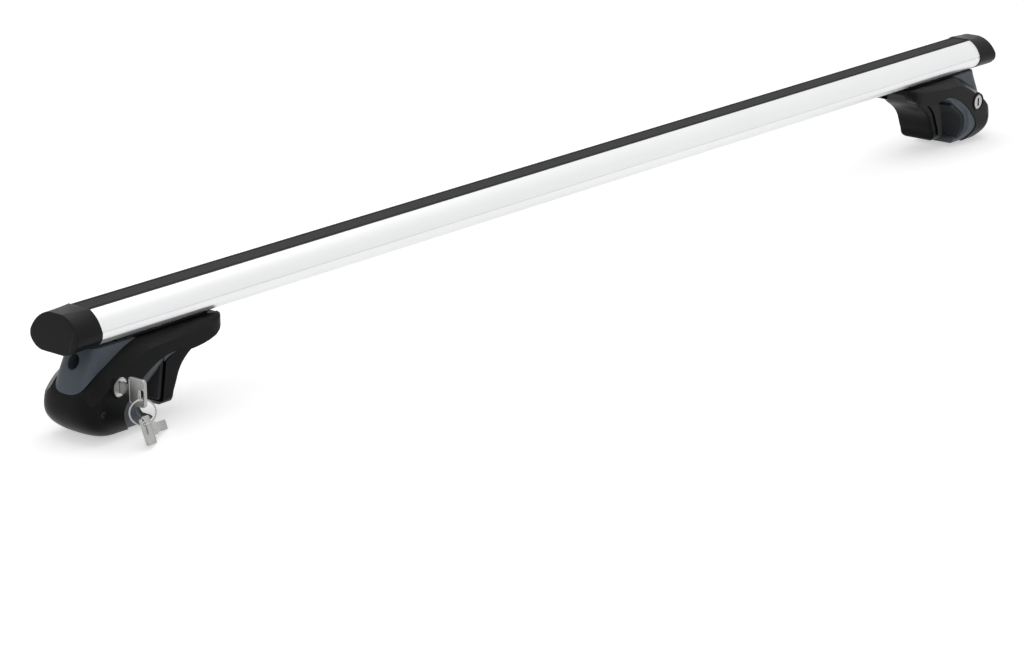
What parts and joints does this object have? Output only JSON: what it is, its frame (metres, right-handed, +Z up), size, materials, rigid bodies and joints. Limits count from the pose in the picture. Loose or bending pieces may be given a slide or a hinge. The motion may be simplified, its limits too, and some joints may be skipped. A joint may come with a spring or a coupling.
{
  "type": "roof rack crossbar",
  "caption": "Roof rack crossbar: wing-section aluminium bar with a rubber top strip and plastic end caps, on lockable clamp feet that grip raised roof rails.",
  "frame": {"origin": "centre of the top slot's mouth, half way along the bar, level with the bar's top", "axes": "+X along the bar, -Y towards the lock side, +Z up"},
  "size_m": [1.2036, 0.0881, 0.0972],
  "materials": {
    "bar_aluminium": "satin anodised",
    "strip_rubber": "matt",
    "cap_plastic": "fine grain",
    "grey_plastic": "fine grain",
    "black_plastic": "satin",
    "pad_rubber": "matt",
    "fitting_plastic": "satin",
    "zinc_steel": "zinc plated",
    "dark_steel": "oxide black",
    "lock_zinc": "nickel plated",
    "key_nickel": "nickel plated",
    "ring_steel": "polished"
  },
  "bodies": {
    "bar": {"bar_extrusion": "bar_aluminium", "top_rubber_strip": "strip_rubber", "left_end_cap": "cap_plastic", "right_end_cap": "cap_plastic"},
    "left_foot": {"left_foot_core": "grey_plastic", "left_foot_cover": "black_plastic", "left_claw_pad": "pad_rubber", "left_bolt_washer": "zinc_steel", "left_slot_block": "fitting_plastic", "left_slot_block_screws": "zinc_steel", "left_bar_guide": "fitting_plastic", "left_saddle_pad": "strip_rubber", "left_cover_screws": "dark_steel", "left_lock_housing": "lock_zinc"},
    "left_jaw": {"left_inner_jaw": "black_plastic", "left_jaw_pad": "pad_rubber", "left_jaw_nut": "zinc_steel"},
    "left_bolt": {"left_clamp_bolt": "zinc_steel", "left_bolt_clip": "zinc_steel"},
    "left_lock": {"left_lock_plug": "lock_zinc", "left_lock_cam": "zinc_steel", "left_lock_cam_screw": "zinc_steel"},
    "right_foot": {"right_foot_core": "grey_plastic", "right_foot_cover": "black_plastic", "right_claw_pad": "pad_rubber", "right_bolt_washer": "zinc_steel", "right_slot_block": "fitting_plastic", "right_slot_block_screws": "zinc_steel", "right_bar_guide": "fitting_plastic", "right_saddle_pad": "strip_rubber", "right_cover_screws": "dark_steel", "right_lock_housing": "lock_zinc"},
    "right_jaw": {"right_inner_jaw": "black_plastic", "right_jaw_pad": "pad_rubber", "right_jaw_nut": "zinc_steel"},
    "right_bolt": {"right_clamp_bolt": "zinc_steel", "right_bolt_clip": "zinc_steel"},
    "right_lock": {"right_lock_plug": "lock_zinc", "right_lock_cam": "zinc_steel", "right_lock_cam_screw": "zinc_steel"},
    "key": {"key": "key_nickel"},
    "key_ring": {"key_ring": "ring_steel"},
    "spare_key": {"spare_key": "key_nickel"}
  },
  "joints": [
    {"name": "left_foot_slide", "type": "slide", "parent": "bar", "child": "left_foot", "axis": [1, 0, 0], "range_m": [0, 0.2]},
    {"name": "left_bolt_turn", "type": "hinge", "parent": "left_foot", "child": "left_bolt", "pos_m": [-0.5376, 0, -0.0388], "axis": [-1, 0, 0], "range_deg": [0, 5041]},
    {"name": "left_jaw_slide", "type": "slide", "parent": "left_foot", "child": "left_jaw", "axis": [1, 0, 0], "range_m": [0, 0.014]},
    {"name": "left_lock_turn", "type": "hinge", "parent": "left_foot", "child": "left_lock", "pos_m": [-0.5646, -0.015, -0.0563], "axis": [0, -1, 0], "range_deg": [0, 90]},
    {"name": "right_foot_slide", "type": "slide", "parent": "bar", "child": "right_foot", "axis": [-1, 0, 0], "range_m": [0, 0.2]},
    {"name": "right_bolt_turn", "type": "hinge", "parent": "right_foot", "child": "right_bolt", "pos_m": [0.5376, 0, -0.0388], "axis": [1, 0, 0], "range_deg": [0, 5041]},
    {"name": "right_jaw_slide", "type": "slide", "parent": "right_foot", "child": "right_jaw", "axis": [-1, 0, 0], "range_m": [0, 0.014]},
    {"name": "right_lock_turn", "type": "hinge", "parent": "right_foot", "child": "right_lock", "pos_m": [0.5646, -0.015, -0.0563], "axis": [0, 1, 0], "range_deg": [0, 90]},
    {"name": "key_pull", "type": "slide", "parent": "left_lock", "child": "key", "axis": [0, -1, 0], "range_m": [0, 0.03]},
    {"name": "ring_swing", "type": "hinge", "parent": "key", "child": "key_ring", "pos_m": [-0.5646, -0.0508, -0.06095], "axis": [0.788, -0.6157, 0], "range_deg": [-60, 10]},
    {"name": "spare_key_swing", "type": "hinge", "parent": "key_ring", "child": "spare_key", "pos_m": [-0.5646, -0.0508, -0.07985], "axis": [0.788, -0.6157, 0], "range_deg": [-20, 10]}
  ],
  "couplings": [
    {"joint": "left_bolt_turn", "follows": "left_jaw_slide", "rad_per_m": 6283.2},
    {"joint": "right_bolt_turn", "follows": "right_jaw_slide", "rad_per_m": 6283.2}
  ]
}
